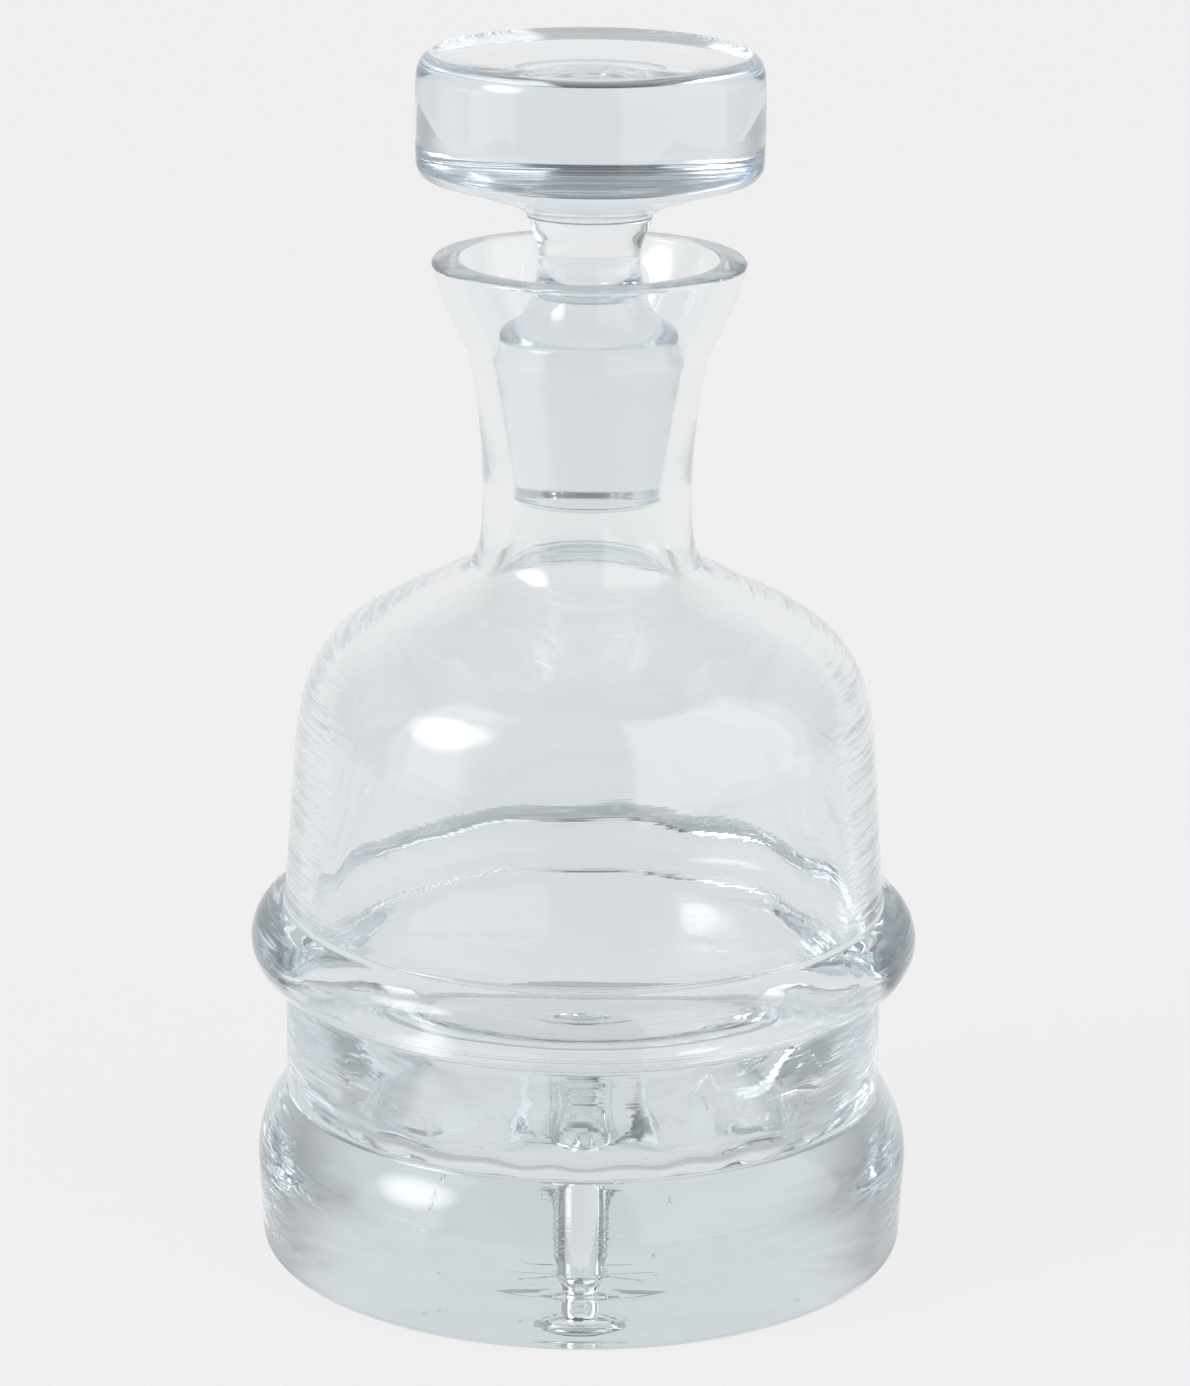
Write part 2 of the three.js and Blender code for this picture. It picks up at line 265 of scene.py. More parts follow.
inner_rim = at(RIM_RADIUS - RIM_WALL + RIM_BEVEL, rim_height)
throat_base = at(NECK_RADIUS - NECK_WALL, throat_bottom)
swell_top = at(BODY_RADIUS - BODY_WALL, BASE_THICKNESS + CORNER_HEIGHT + CAVITY_SWELL)
turn_in = at(swell_top.x, TURN_IN_HEIGHT)
turn_end = turn_in - at(TURN_IN_REACH, TURN_IN_DROP)
corner_top = at(CAVITY_RADIUS, BASE_THICKNESS + CORNER_HEIGHT)
swell = line(swell_top, turn_in, 5)
swell += bend(
    turn_in, turn_in - at(0, TURN_IN_DROP * TURN_IN_LEAVING),
    turn_end.lerp(turn_in, TURN_IN_ARRIVING), turn_end, 12,
)
swell += bend(
    turn_end, turn_end - at(TURN_IN_REACH, TURN_IN_DROP),
    corner_top + at(0, CAVITY_SWELL * CAVITY_SWELL_PULL), corner_top, 16,
)
corner = arc(at(FLOOR_RADIUS, corner_top.z), CAVITY_RADIUS - FLOOR_RADIUS, CORNER_HEIGHT, 0, -90, 14)
floor_line = []
for i in range(1, FLOOR_STEPS + 1):
    rise = FLOOR_RISE * (1 - math.cos(math.pi * i / FLOOR_STEPS)) / 2
    floor_line.append(at(FLOOR_RADIUS * (1 - i / FLOOR_STEPS), BASE_THICKNESS + rise))
inside = turned([
    [at(RIM_RADIUS - RIM_BEVEL, rim_height), inner_rim],
    inset(mouth_side, NECK_TOP_RADIUS - THROAT_TOP_RADIUS, RIM_WALL)[1:-1][::-1],
    line(at(THROAT_TOP_RADIUS, throat_top), throat_base, 10),
    inset(neck_foot, SHOULDER_WALL, NECK_WALL)[::-1],
    inset(shoulder, BODY_WALL, SHOULDER_WALL)[1:-1][::-1],
    line(at(BODY_TOP_RADIUS - BODY_WALL, body_top), swell_top, 10),
    swell, corner, floor_line,
])

# Hand work leaves shallow waves in the inner skin. They die away below the neck and towards the axis.
WAVE_DEPTH = 0.35
WAVE_WIDTH = 14
WAVE_HEIGHT = 30
WAVE_TOP_FADE = 10
WAVE_AXIS_FADE = 20

for vert in inside.verts:
    radius = math.hypot(vert.co.x, vert.co.y)
    fade = min(max((neck_root * MM - vert.co.z) / (WAVE_TOP_FADE * MM), 0), 1)
    fade *= min(radius / (WAVE_AXIS_FADE * MM), 1)
    place = Vector((vert.co.x / WAVE_WIDTH, vert.co.y / WAVE_WIDTH, vert.co.z / WAVE_HEIGHT)) / MM
    shift = noise.noise(place) * WAVE_DEPTH * MM * fade
    if radius > 0:
        vert.co.x += vert.co.x / radius * shift
        vert.co.y += vert.co.y / radius * shift

# Soft folds run down the turn between wall and floor, and break up the light that shows there.
FOLDS = 22
FOLD_DEPTH = 0.35
FOLD_START_RADIUS = 28
FOLD_FULL_RADIUS = 36
FOLD_TOP = 48
FOLD_FULL_HEIGHT = 38
FOLD_WANDER = 3
FOLD_WANDER_SCALE = 2
FOLD_WANDER_LEVEL = 5

for vert in inside.verts:
    radius = math.hypot(vert.co.x, vert.co.y) / MM
    height = vert.co.z / MM
    share = min(max((radius - FOLD_START_RADIUS) / (FOLD_FULL_RADIUS - FOLD_START_RADIUS), 0), 1)
    share *= min(max((FOLD_TOP - height) / (FOLD_TOP - FOLD_FULL_HEIGHT), 0), 1)
    if radius > 0 and share > 0:
        turn = math.atan2(vert.co.y, vert.co.x)
        across = math.cos(turn) * FOLD_WANDER_SCALE
        along = math.sin(turn) * FOLD_WANDER_SCALE
        wander = FOLD_WANDER * noise.noise(Vector((across, along, FOLD_WANDER_LEVEL)))
        vert.co.z += FOLD_DEPTH * share * math.cos(turn * FOLDS + wander) * MM


def skin(work, inward=False):
    """A turned skin's own mesh, with its faces pointing out of the glass it bounds."""
    bmesh.ops.recalc_face_normals(work, faces=work.faces)
    if inward:
        bmesh.ops.reverse_faces(work, faces=work.faces)
    mesh = bpy.data.meshes.new("skin")
    work.to_mesh(mesh)
    work.free()
    return mesh


glass_work = bmesh.new()
for part in (outside, inside):
    part_mesh = bpy.data.meshes.new("part")
    part.to_mesh(part_mesh)
    part.free()
    glass_work.from_mesh(part_mesh)
bmesh.ops.remove_doubles(glass_work, verts=glass_work.verts, dist=WELD_DISTANCE)
bmesh.ops.recalc_face_normals(glass_work, faces=glass_work.faces)

# Bubble and seeds. A point is pushed into the soft base, and the glass closes over the air that it leaves:
# a flat bubble on the axis, just over the pin hole. A few tiny seeds lie round it. Each is a closed skin
# inside the glass, with its faces turned in to the air. A seed is its place and radius, in millimetres.
BUBBLE_HEIGHT = 8.8
BUBBLE_RADIUS = 6.4
BUBBLE_HALF_HEIGHT = 2.4
BUBBLE_STEPS = 96
SEEDS = [
    (-21, -12, 9.5, 0.55), (-21.5, -8, 6.5, 0.4), (-20.5, -15, 4, 0.35), (-17, 4, 22, 0.45),
    (14, -22, 12, 0.3), (27, 6, 8, 0.4), (-6, 26, 15, 0.3), (9, 19, 5, 0.35),
]

bubble_line = arc(at(0, BUBBLE_HEIGHT), BUBBLE_RADIUS, BUBBLE_HALF_HEIGHT, 90, -90, 40)
bubble_line[0].x = 0
bubble_line[-1].x = 0
bubble = turned([bubble_line], BUBBLE_STEPS)
glass_work.from_mesh(skin(bubble, inward=True))
for across, away, up, radius in SEEDS:
    seed = bmesh.new()
    bmesh.ops.create_icosphere(seed, subdivisions=3, radius=radius * MM)
    bmesh.ops.translate(seed, verts=seed.verts, vec=Vector((across, away, up)) * MM)
    glass_work.from_mesh(skin(seed, inward=True))

bottle_mesh = bpy.data.meshes.new("blown_bottle")
glass_work.to_mesh(bottle_mesh)
glass_work.free()
bottle_mesh.shade_smooth()
blown_bottle = bpy.data.objects.new("blown_bottle", bottle_mesh)
bpy.context.scene.collection.objects.link(blown_bottle)

# Clear glass. Fire-polished, with the faint cool tint of a thick pour, and fine lines drawn round it by
# the turning of the hot glass, strongest at its two sides. The rim, the throat and the plug are ground, and
# so a little dull. Both glasses take these marks of the hand from one node group.
CLEAR = (1, 1, 1, 1)
GLASS_IOR = 1.52
TINT_DENSITY = 10
GROUND_DULL = 0.08
GROUND_EDGE = 0.2
THROAT_SKIN = 0.3
LINES_IN_FRONT = 0.03
LINES_FAINT_TO = 0.86
LINES_FULL_FROM = 0.97
LINES_FADE_LOW = 12
LINES_FADE_HIGH = 2
LINES_SCALE = (9, 9, 800)
WAVES_SCALE = 55


def linked(links, node, **inputs):
    """Set or link a node's inputs, by name or by place as in _0: a socket is linked, else it's a value."""
    for name, value in inputs.items():
        socket = node.inputs[name] if name in node.inputs else node.inputs[int(name[1:])]
        if isinstance(value, bpy.types.NodeSocket):
            links.new(value, socket)
        else:
            socket.default_value = value
    return node.outputs[0]


def sums(nodes, links, operation, first, second=0.0):
    """What a Math node makes of two values or sockets."""
    node = nodes.new("ShaderNodeMath")
    node.operation = operation
    return linked(links, node, _0=first, _1=second)


def ramp(nodes, links, value, low, high, low_result, high_result):
    """A smooth change from one result to the other as the value goes from low to high."""
    node = nodes.new("ShaderNodeMapRange")
    node.interpolation_type = "SMOOTHSTEP"
    return linked(links, node, _0=value, _1=low, _2=high, _3=low_result, _4=high_result)


handwork = bpy.data.node_groups.new("handwork", "ShaderNodeTree")
for label in ("Lines", "Waves", "Throat"):
    handwork.interface.new_socket(label, in_out="INPUT", socket_type="NodeSocketFloat")
handwork.interface.new_socket("Normal", in_out="OUTPUT", socket_type="NodeSocketVector")
for label in ("Ground", "Height", "Reach"):
    handwork.interface.new_socket(label, in_out="OUTPUT", socket_type="NodeSocketFloat")
nodes = handwork.nodes
links = handwork.links
given = nodes.new("NodeGroupInput").outputs
made = nodes.new("NodeGroupOutput")
place = nodes.new("ShaderNodeTexCoord").outputs["Object"]
split = nodes.new("ShaderNodeSeparateXYZ")
links.new(place, split.inputs[0])
height = split.outputs["Z"]
flat = nodes.new("ShaderNodeVectorMath")
flat.operation = "MULTIPLY"
flat.inputs[1].default_value = (1, 1, 0)
links.new(place, flat.inputs[0])
length = nodes.new("ShaderNodeVectorMath")
length.operation = "LENGTH"
links.new(flat.outputs[0], length.inputs[0])
reach = length.outputs["Value"]
sideways = sums(nodes, links, "DIVIDE", sums(nodes, links, "ABSOLUTE", split.outputs["X"]), reach)
aside = ramp(nodes, links, sideways, LINES_FAINT_TO, LINES_FULL_FROM, LINES_IN_FRONT, 1.0)
lines_fade = (neck_root - LINES_FADE_LOW) * MM
lines_end = (neck_root - LINES_FADE_HIGH) * MM
lower = ramp(nodes, links, height, lines_fade, lines_end, 1.0, 0.0)
stretched = linked(links, nodes.new("ShaderNodeMapping"), Vector=place, Scale=LINES_SCALE)
drawn = linked(links, nodes.new("ShaderNodeTexNoise"), Vector=stretched, Scale=1.0, Detail=2.0)
drawn = sums(nodes, links, "MULTIPLY", drawn, sums(nodes, links, "MULTIPLY", aside, lower))
waves = linked(links, nodes.new("ShaderNodeTexNoise"), Vector=place, Scale=WAVES_SCALE, Detail=1.0)
waved = linked(links, nodes.new("ShaderNodeBump"), Strength=1.0, Distance=given["Waves"], Height=waves)
lined = linked(
    links, nodes.new("ShaderNodeBump"), Strength=1.0, Distance=given["Lines"], Height=drawn, Normal=waved,
)
throat_edge = sums(nodes, links, "ADD", given["Throat"], THROAT_SKIN * MM)
within = ramp(nodes, links, reach, given["Throat"], throat_edge, 1.0, 0.0)
above, below = [
    ramp(nodes, links, height, (level - GROUND_EDGE) * MM, (level + GROUND_EDGE) * MM, start, end)
    for level, start, end in ((throat_bottom, 0.0, 1.0), (throat_top, 1.0, 0.0))
]
ground = sums(nodes, links, "MULTIPLY", sums(nodes, links, "MULTIPLY", above, below), within)
for label, value in (("Normal", lined), ("Ground", ground), ("Height", height), ("Reach", reach)):
    links.new(value, made.inputs[label])


def glass(name, tint, lines, waves, throat):
    """A clear glass, tinted in its depth and ground up to the throat's reach, and its handwork outputs."""
    material = bpy.data.materials.new(name)
    material.use_nodes = True
    nodes = material.node_tree.nodes
    links = material.node_tree.links
    shader = nodes["Principled BSDF"]
    shader.inputs["Base Color"].default_value = CLEAR
    shader.inputs["Transmission Weight"].default_value = 1
    shader.inputs["IOR"].default_value = GLASS_IOR
    absorb = nodes.new("ShaderNodeVolumeAbsorption")
    absorb.inputs["Color"].default_value = tint
    absorb.inputs["Density"].default_value = TINT_DENSITY
    links.new(absorb.outputs["Volume"], nodes["Material Output"].inputs["Volume"])
    worked = nodes.new("ShaderNodeGroup")
    worked.node_tree = handwork
    linked(links, worked, Lines=lines, Waves=waves, Throat=throat)
    links.new(worked.outputs["Normal"], shader.inputs["Normal"])
    dull = sums(nodes, links, "MULTIPLY", worked.outputs["Ground"], GROUND_DULL)
    links.new(dull, shader.inputs["Roughness"])
    return material, worked.outputs


# The bottle's own glass is a little deeper in tone on the blown body than on the neck and the mouth.
BOTTLE_TINT = (0.81, 0.855, 0.875, 1)
BODY_TONE = (0.925, 0.946, 0.956, 1)
NECK_TONE = (0.968, 0.982, 0.986, 1)
MOUTH_TONE = (0.948, 0.967, 0.974, 1)
MOUTH_TONE_RISE = 3
BOTTLE_LINE_DEPTH = 0.0003
BOTTLE_WAVE_DEPTH = 0.00003
THROAT_REACH = 19.2
RIM_GROUND_FROM = 0.5
RIM_GROUND_FULL = 0.3

blown_glass, worked = glass(
    "blown_glass", BOTTLE_TINT, BOTTLE_LINE_DEPTH, BOTTLE_WAVE_DEPTH, THROAT_REACH * MM,
)
nodes = blown_glass.node_tree.nodes
links = blown_glass.node_tree.links
skin_tint = BODY_TONE
for low, high, colour in (
    (body_top, neck_root, NECK_TONE),
    (throat_top, throat_top + MOUTH_TONE_RISE, MOUTH_TONE),
):
    mix = nodes.new("ShaderNodeMix")
    mix.data_type = "RGBA"
    risen = ramp(nodes, links, worked["Height"], low * MM, high * MM, 0.0, 1.0)
    linked(links, mix, Factor=risen, _6=skin_tint, _7=colour)
    skin_tint = mix.outputs[2]
links.new(skin_tint, nodes["Principled BSDF"].inputs["Base Color"])
rim_start = (rim_height - RIM_GROUND_FROM) * MM
rim_full = (rim_height - RIM_GROUND_FULL) * MM
rim = ramp(nodes, links, worked["Height"], rim_start, rim_full, 0.0, 1.0)
dull = sums(nodes, links, "MULTIPLY", sums(nodes, links, "MAXIMUM", worked["Ground"], rim), GROUND_DULL)
links.new(dull, nodes["Principled BSDF"].inputs["Roughness"])
blown_bottle.data.materials.append(blown_glass)
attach(blown_bottle, "bottle")
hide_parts("bottle")

# Stopper. One solid piece, pressed and cut: a drum-shaped head, a drawn-in stem, and a plug ground to the
# taper of the throat, which it fills with a hair of room all round. The head's underside keeps the fine
# rings of the turning.
GROUND_GAP = 0.3
PLUG_OVERRUN = 2.1
PLUG_END_ROUND = 1.5
PLUG_COLLAR_HEIGHT = 4.9
PLUG_COLLAR_DRAW = 0.55
PLUG_SHOULDER_ROUND = 1.5
PLUG_SHOULDER_ANGLE = 70
STEM_RADIUS = 9.8
STEM_FLARE_HEIGHT = 13.35
STEM_FLARE_REACH = 3
STEM_FLARE_RISE = 1.2
STEM_FLARE_PULL = 6
STEM_HEIGHT = 8.5
STEM_STRAIGHT_SHARE = 0.4
STEM_TOP_RADIUS = 12.3
STEM_TOP_DRAW = 0.5
STEM_TOP_PULL = 2.5
HEAD_RADIUS = 33.5
HEAD_BOW = 0.3
HEAD_HEIGHT = 23.65
HEAD_TOP_ROUND = 3.4
HEAD_TOP_DROP = 4.65
HEAD_CORNER_ROUND = 1.9
HEAD_CORNER_RISE = 2.65
HEAD_UNDERSIDE_FALL = 7.55
HEAD_UNDERSIDE_REACH = 0.3
HEAD_UNDERSIDE_PULL = 1.9
HEAD_EDGE_REACH = 1
HEAD_EDGE_SAG = 0.2

throat_slope = (THROAT_TOP_RADIUS - throat_base.x) / THROAT_LENGTH


def plug_radius(height):
    return THROAT_TOP_RADIUS - GROUND_GAP - (throat_top - height) * throat_slope


plug_end = throat_bottom - PLUG_OVERRUN
round_height = plug_end + PLUG_END_ROUND
end_centre = at(plug_radius(round_height) - PLUG_END_ROUND, round_height)
collar_radius = plug_radius(throat_top) - PLUG_COLLAR_DRAW
collar_top = throat_top + PLUG_COLLAR_HEIGHT
collar_centre = at(collar_radius - PLUG_SHOULDER_ROUND, collar_top - PLUG_SHOULDER_ROUND)
collar = arc(collar_centre, PLUG_SHOULDER_ROUND, PLUG_SHOULDER_ROUND, 0, PLUG_SHOULDER_ANGLE, 8)
flare_top = collar_top + STEM_FLARE_HEIGHT
stem_top = at(STEM_TOP_RADIUS, flare_top + STEM_HEIGHT)
head_bottom = stem_top.z + HEAD_UNDERSIDE_FALL
head_top = head_bottom + HEAD_HEIGHT
corner_centre = at(HEAD_RADIUS - HEAD_CORNER_ROUND, head_bottom + HEAD_CORNER_RISE)
side_top = head_top - HEAD_TOP_DROP
bow_reach = (side_top - corner_centre.z) / 3
flare = bend(
    collar[-1], at(STEM_RADIUS + STEM_FLARE_REACH, collar_top + STEM_FLARE_RISE),
    at(STEM_RADIUS, flare_top - STEM_FLARE_PULL), at(STEM_RADIUS, flare_top), 22,
)
stem = bend(
    at(STEM_RADIUS, flare_top), at(STEM_RADIUS, flare_top + STEM_HEIGHT * STEM_STRAIGHT_SHARE),
    at(stem_top.x - STEM_TOP_DRAW, stem_top.z - STEM_TOP_PULL), stem_top, 12,
)
head_under = bend(
    stem_top, at(stem_top.x + HEAD_UNDERSIDE_REACH, stem_top.z + HEAD_UNDERSIDE_PULL),
    at(corner_centre.x - HEAD_EDGE_REACH, head_bottom - HEAD_EDGE_SAG),
    at(corner_centre.x, head_bottom), 24,
)
head_side = bend(
    at(HEAD_RADIUS, corner_centre.z), at(HEAD_RADIUS + HEAD_BOW, corner_centre.z + bow_reach),
    at(HEAD_RADIUS + HEAD_BOW, side_top - bow_reach), at(HEAD_RADIUS, side_top), 18,
)
stopper_work = turned([
    line(at(0, plug_end), at(end_centre.x, plug_end), 6),
    arc(end_centre, PLUG_END_ROUND, PLUG_END_ROUND, -90, 0, 8),
    line(at(plug_radius(round_height), round_height), at(plug_radius(throat_top), throat_top), 12),
    collar, flare, stem, head_under,
    arc(corner_centre, HEAD_CORNER_ROUND, HEAD_CORNER_RISE, -90, 0, 8),
    head_side,
    arc(at(HEAD_RADIUS - HEAD_TOP_ROUND, side_top), HEAD_TOP_ROUND, HEAD_TOP_DROP, 0, 90, 14),
    line(at(HEAD_RADIUS - HEAD_TOP_ROUND, head_top), at(0, head_top), 8),
])
cut_stopper = bpy.data.objects.new("cut_stopper", skin(stopper_work))
cut_stopper.data.shade_smooth()
bpy.context.scene.collection.objects.link(cut_stopper)

# The stopper's glass is ground at the height of the throat, out to any reach, which is in metres here.
# Its rings lie under the head.
STOPPER_TINT = (0.73, 0.81, 0.87, 1)
STOPPER_LINE_DEPTH = 0.000008
STOPPER_WAVE_DEPTH = 0.000015
STOPPER_GROUND_REACH = 1
RINGS_PER_METRE = 850
RING_DEPTH = 0.0002
RINGS_START = 3
RINGS_END = 1
RINGS_FADE = 2

cut_glass, worked = glass(
    "cut_glass", STOPPER_TINT, STOPPER_LINE_DEPTH, STOPPER_WAVE_DEPTH, STOPPER_GROUND_REACH,
)
nodes = cut_glass.node_tree.nodes
links = cut_glass.node_tree.links
rings = nodes.new("ShaderNodeTexNoise")
rings.noise_dimensions = "1D"
along = sums(nodes, links, "MULTIPLY", worked["Reach"], RINGS_PER_METRE)
linked(links, rings, W=along, Scale=1.0, Detail=3.0)
under_low = (stem_top.z + RINGS_START) * MM
under_high = (corner_centre.z - RINGS_END) * MM
from_below = ramp(nodes, links, worked["Height"], under_low, under_low + RINGS_FADE * MM, 0.0, 1.0)
to_above = ramp(nodes, links, worked["Height"], under_high, under_high + RINGS_FADE * MM, 1.0, 0.0)
under_head = sums(nodes, links, "MULTIPLY", from_below, to_above)
ringed = linked(
    links, nodes.new("ShaderNodeBump"), Strength=1.0, Distance=RING_DEPTH,
    Height=sums(nodes, links, "MULTIPLY", rings.outputs[0], under_head), Normal=worked["Normal"],
)
links.new(ringed, nodes["Principled BSDF"].inputs["Normal"])
cut_stopper.data.materials.append(cut_glass)
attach(cut_stopper, "stopper")
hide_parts("stopper")

# Light runs a long way round inside solid glass before it leaves, so its paths are let run on.
LIGHT_TURNS = 40
bpy.context.scene.cycles.max_bounces = LIGHT_TURNS
bpy.context.scene.cycles.transmission_bounces = LIGHT_TURNS
bpy.context.scene.cycles.glossy_bounces = LIGHT_TURNS

# Studio. A pale sweep in a plain bright room, with two large soft boxes, left and right of the camera.
# What the glass shows of the sweep is painted darker in front, as painted shade that gives its thin dark
# lines, and painted darker close round the foot, as a painted shadow there.
SWEEP_PALE = 0.885
SWEEP_SHARE = 0.93
SWEEP_MATT = 0.8
SWEEP_PAINTED_FRONT_SHADE = 0.5
FRONT_SHADE_FROM = -0.6
FRONT_SHADE_TO = -0.2
PAINTED_CONTACT_SHADOW = 0.3
PAINTED_SHADOW_FROM = 44
PAINTED_SHADOW_FULL = 54
PAINTED_SHADOW_FADE = 64
PAINTED_SHADOW_END = 70
SWEEP_HALF_WIDTH = 1.2
SWEEP_HALF_LENGTH = 2.5
SWEEP_FRONT_EDGE = 0.8
SWEEP_DROP = 0.0002

floor_work = bmesh.new()
bmesh.ops.create_grid(floor_work, x_segments=1, y_segments=1, size=SWEEP_HALF_LENGTH)
bmesh.ops.scale(floor_work, verts=floor_work.verts, vec=(SWEEP_HALF_WIDTH / SWEEP_HALF_LENGTH, 1, 1))
bmesh.ops.translate(
    floor_work, verts=floor_work.verts, vec=(0, SWEEP_HALF_LENGTH - SWEEP_FRONT_EDGE, -SWEEP_DROP),
)
floor_mesh = bpy.data.meshes.new("studio_floor")
floor_work.to_mesh(floor_mesh)
floor_work.free()
studio_floor = bpy.data.objects.new("studio_floor", floor_mesh)
bpy.context.scene.collection.objects.link(studio_floor)
sweep = bpy.data.materials.new("pale_sweep")
sweep.use_nodes = True
nodes = sweep.node_tree.nodes
links = sweep.node_tree.links
nodes.remove(nodes["Principled BSDF"])
path = nodes.new("ShaderNodeLightPath").outputs
bent = sums(nodes, links, "MAXIMUM", path["Is Glossy Ray"], path["Is Transmission Ray"])
seen = sums(nodes, links, "MAXIMUM", path["Is Camera Ray"], bent)
place = nodes.new("ShaderNodeTexCoord").outputs["Object"]
away = nodes.new("ShaderNodeSeparateXYZ")
links.new(place, away.inputs[0])
# Painted shade: the sweep's glow, as the glass sees it, is darker towards the front.
painted_sweep_shade = ramp(nodes, links, away.outputs["Y"], FRONT_SHADE_FROM, FRONT_SHADE_TO, SWEEP_PAINTED_FRONT_SHADE, 1.0)
apart = nodes.new("ShaderNodeVectorMath")
apart.operation = "LENGTH"
links.new(place, apart.inputs[0])
spread = apart.outputs["Value"]
# Painted shadow: the sweep's glow, as the glass sees it, is darker in a ring round the foot.
inner = ramp(nodes, links, spread, PAINTED_SHADOW_FROM * MM, PAINTED_SHADOW_FULL * MM, 0.0, 1.0)
outer = ramp(nodes, links, spread, PAINTED_SHADOW_FADE * MM, PAINTED_SHADOW_END * MM, PAINTED_CONTACT_SHADOW, 0.0)
lit = sums(nodes, links, "SUBTRACT", 1.0, sums(nodes, links, "MULTIPLY", inner, outer))
painted_sweep_shade = sums(nodes, links, "MULTIPLY", painted_sweep_shade, lit)
sweep_tone = sums(nodes, links, "MAXIMUM", painted_sweep_shade, path["Is Camera Ray"])
matt = nodes.new("ShaderNodeBsdfDiffuse")
matt.inputs["Color"].default_value = (SWEEP_MATT, SWEEP_MATT, SWEEP_MATT, 1)
even = nodes.new("ShaderNodeEmission")
even.inputs["Color"].default_value = (SWEEP_PALE, SWEEP_PALE, SWEEP_PALE, 1)
links.new(sweep_tone, even.inputs["Strength"])
blend = nodes.new("ShaderNodeMixShader")
links.new(sums(nodes, links, "MULTIPLY", seen, SWEEP_SHARE), blend.inputs["Fac"])
links.new(matt.outputs[0], blend.inputs[1])
links.new(even.outputs[0], blend.inputs[2])
links.new(blend.outputs[0], nodes["Material Output"].inputs["Surface"])
floor_mesh.materials.append(sweep)

# The room, by direction: pale low down behind, greyer above, in front and at the sides, and the two soft
# boxes, each a panel with soft edges. The left one is brighter round its lamp. A box is the direction of
# its middle and half its width, in degrees. The camera itself sees the plain backdrop's tone.
BACKDROP = 0.871
ROOM_BACK = 0.863
ROOM_SIDE = 0.5
ROOM_SIDE_TO = 0.45
ROOM_BACK_FROM = 0.8
ROOM_FRONT = 0.26
ROOM_FRONT_EDGE = 0.2
ROOM_TOP = 0.6
ROOM_TOP_FROM = 0.55
ROOM_TOP_FULL = 0.7
BOX_GLOW = 1.05
BOX_DIRECTIONS = [(-113, 17), (120, 40)]
BOX_LOW = -14
BOX_HIGH = 58
BOX_EDGE = 3
LAMP_GLOW = 7.0
LAMP_SPREAD = 17
LAMP_DIRECTION = (-0.8, -0.37, 0.46)

room = bpy.data.worlds.new("studio_room")
bpy.context.scene.world = room
room.use_nodes = True
nodes = room.node_tree.nodes
links = room.node_tree.links
direction = nodes.new("ShaderNodeTexCoord").outputs["Generated"]
split = nodes.new("ShaderNodeSeparateXYZ")
links.new(direction, split.inputs[0])
right, forward, up = split.outputs
tone = ramp(nodes, links, forward, ROOM_SIDE_TO, ROOM_BACK_FROM, ROOM_SIDE, ROOM_BACK)
front = ramp(nodes, links, forward, -ROOM_FRONT_EDGE, ROOM_FRONT_EDGE, ROOM_FRONT / ROOM_SIDE, 1.0)
tone = sums(nodes, links, "MULTIPLY", tone, front)
top = ramp(nodes, links, up, ROOM_TOP_FROM, ROOM_TOP_FULL, 1.0, ROOM_TOP)
tone = sums(nodes, links, "MULTIPLY", tone, top)
azimuth = sums(nodes, links, "ARCTAN2", right, forward)
elevation = sums(nodes, links, "ARCSINE", up)
soft = math.radians(BOX_EDGE)
low = math.radians(BOX_LOW)
high = math.radians(BOX_HIGH)
over_low = ramp(nodes, links, elevation, low - soft, low + soft, 0.0, 1.0)
under_high = ramp(nodes, links, elevation, high - soft, high + soft, 1.0, 0.0)
upright = sums(nodes, links, "MULTIPLY", over_low, under_high)
for middle, half_width in BOX_DIRECTIONS:
    off = sums(nodes, links, "ABSOLUTE", sums(nodes, links, "SUBTRACT", azimuth, math.radians(middle)))
    edge = math.radians(half_width)
    across = ramp(nodes, links, off, edge - soft, edge + soft, 1.0, 0.0)
    panel = sums(nodes, links, "MULTIPLY", across, upright)
    tone = sums(nodes, links, "ADD", tone, sums(nodes, links, "MULTIPLY", panel, BOX_GLOW))
nearness = nodes.new("ShaderNodeVectorMath")
nearness.operation = "DOT_PRODUCT"
links.new(direction, nearness.inputs[0])
nearness.inputs[1].default_value = Vector(LAMP_DIRECTION).normalized()
lamp_edge = math.cos(math.radians(LAMP_SPREAD))
glow = ramp(nodes, links, nearness.outputs["Value"], lamp_edge, 1.0, 0.0, LAMP_GLOW)
tone = sums(nodes, links, "ADD", tone, glow)
pick = nodes.new("ShaderNodeMix")
pick.data_type = "FLOAT"
links.new(nodes.new("ShaderNodeLightPath").outputs["Is Camera Ray"], pick.inputs["Factor"])
links.new(tone, pick.inputs["A"])
pick.inputs["B"].default_value = BACKDROP
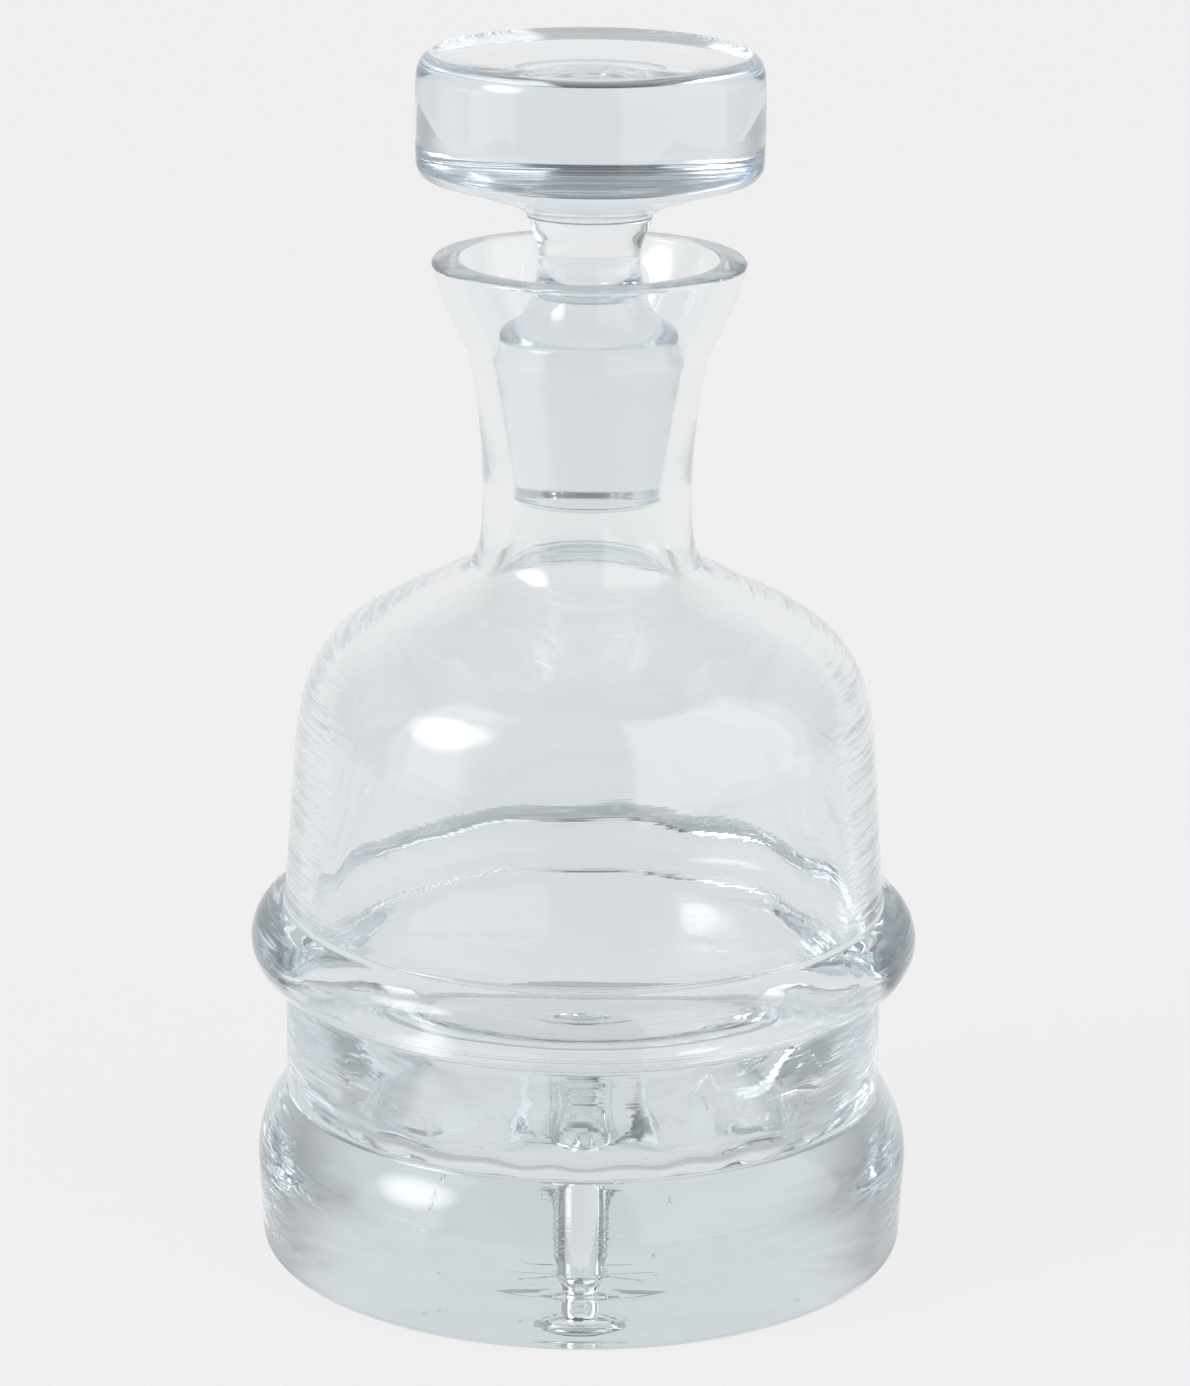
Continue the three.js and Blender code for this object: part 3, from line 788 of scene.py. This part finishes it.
links.new(pick.outputs["Result"], nodes["Background"].inputs["Color"])

# Two soft lamps light the sweep, each given by its place and width in metres. The glass shows the room's
# own panels in their place.
LAMPS = [("left_box", (-0.75, -0.95, 0.65), 0.55), ("right_box", (0.8, -0.9, 0.65), 0.65)]
LAMP_AIM = (0, 0, 0.1)
LAMP_HEIGHT = 0.9
LAMP_POWER = 4

for name, place, width in LAMPS:
    lamp = bpy.data.lights.new(name, "AREA")
    lamp.shape = "RECTANGLE"
    lamp.size = width
    lamp.size_y = LAMP_HEIGHT
    lamp.energy = LAMP_POWER
    holder = bpy.data.objects.new(name, lamp)
    facing = (Vector(LAMP_AIM) - Vector(place)).to_track_quat("-Z", "Y")
    holder.matrix_world = Matrix.Translation(place) @ facing.to_matrix().to_4x4()
    holder.visible_camera = False
    holder.visible_glossy = False
    holder.visible_transmission = False
    bpy.context.scene.collection.objects.link(holder)

# Camera, at the height and distance that the ellipses of the head, rim, ring and foot give.
IMAGE_HEIGHT = 1386
SENSOR_HEIGHT = 36
FOCAL_PIXELS = 5394
CAMERA_DISTANCE = 1.0229
CAMERA_HEIGHT = 0.4079
CAMERA_PITCH = 16.06
CAMERA_ROLL = 0.53
AXIS_OFFSET_PIXELS = 9.8

camera_data = bpy.data.cameras.new("camera")
camera_data.sensor_fit = "VERTICAL"
camera_data.sensor_height = SENSOR_HEIGHT
camera_data.lens = FOCAL_PIXELS / IMAGE_HEIGHT * SENSOR_HEIGHT
camera = bpy.data.objects.new("camera", camera_data)
camera.matrix_world = (
    Matrix.Translation((0, -CAMERA_DISTANCE, CAMERA_HEIGHT))
    @ Matrix.Rotation(-math.atan(AXIS_OFFSET_PIXELS / FOCAL_PIXELS), 4, "Z")
    @ Matrix.Rotation(math.radians(90 - CAMERA_PITCH), 4, "X")
    @ Matrix.Rotation(math.radians(CAMERA_ROLL), 4, "Z")
)
bpy.context.scene.collection.objects.link(camera)
bpy.context.scene.camera = camera
bpy.context.scene.view_settings.view_transform = "Standard"
